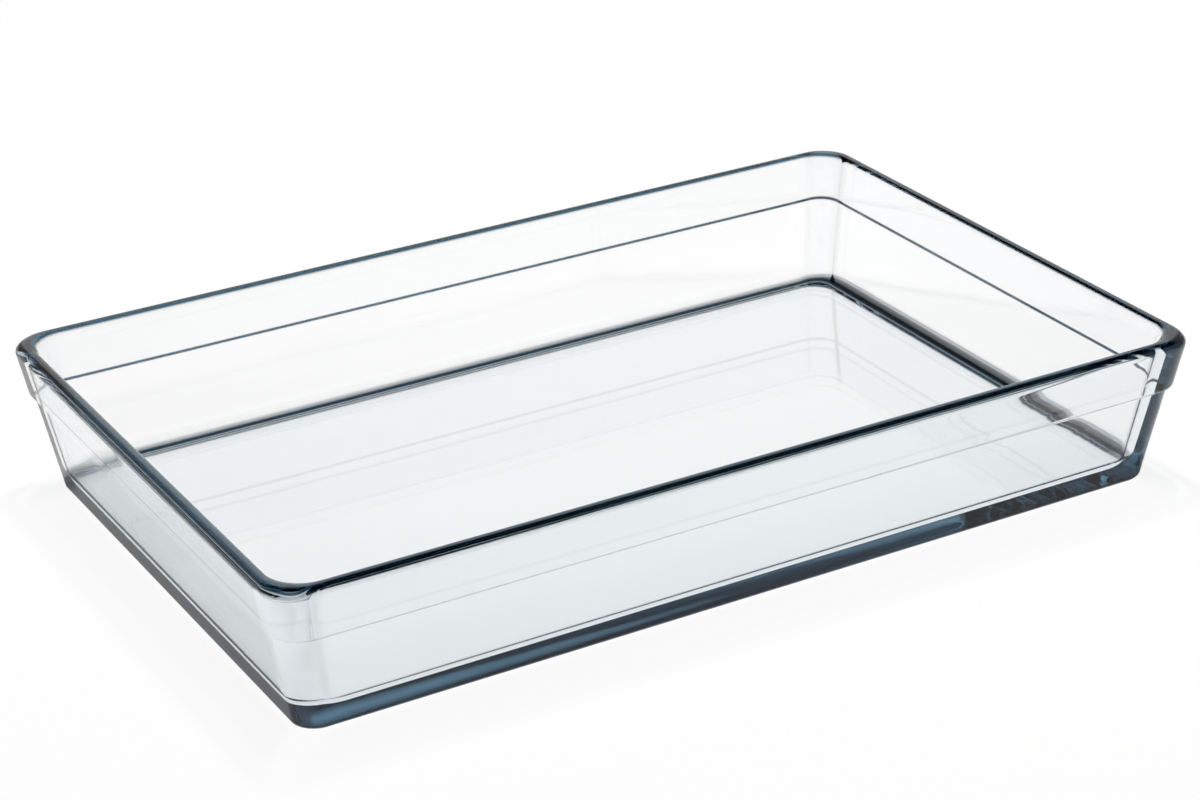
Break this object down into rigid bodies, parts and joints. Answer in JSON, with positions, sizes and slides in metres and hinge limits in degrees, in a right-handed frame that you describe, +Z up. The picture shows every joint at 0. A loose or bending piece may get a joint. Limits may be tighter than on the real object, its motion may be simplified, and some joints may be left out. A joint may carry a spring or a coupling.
{
  "type": "glass baking dish",
  "caption": "Rectangular clear glass baking dish with leaning walls, a proud band under its rounded rim, rounded corners and a thick flat base, for roasting and baking food in an oven.",
  "frame": {"origin": "on the surface that the dish stands on, under the middle of the flat base", "axes": "+X along the dish's length, +Y across its width, +Z up through the open top"},
  "size_m": [0.4, 0.26, 0.0635],
  "materials": {
    "glass": "clear fire-polished pressed glass with a faint blue cast"
  },
  "bodies": {
    "root": {"dish": "glass"}
  },
  "joints": []
}
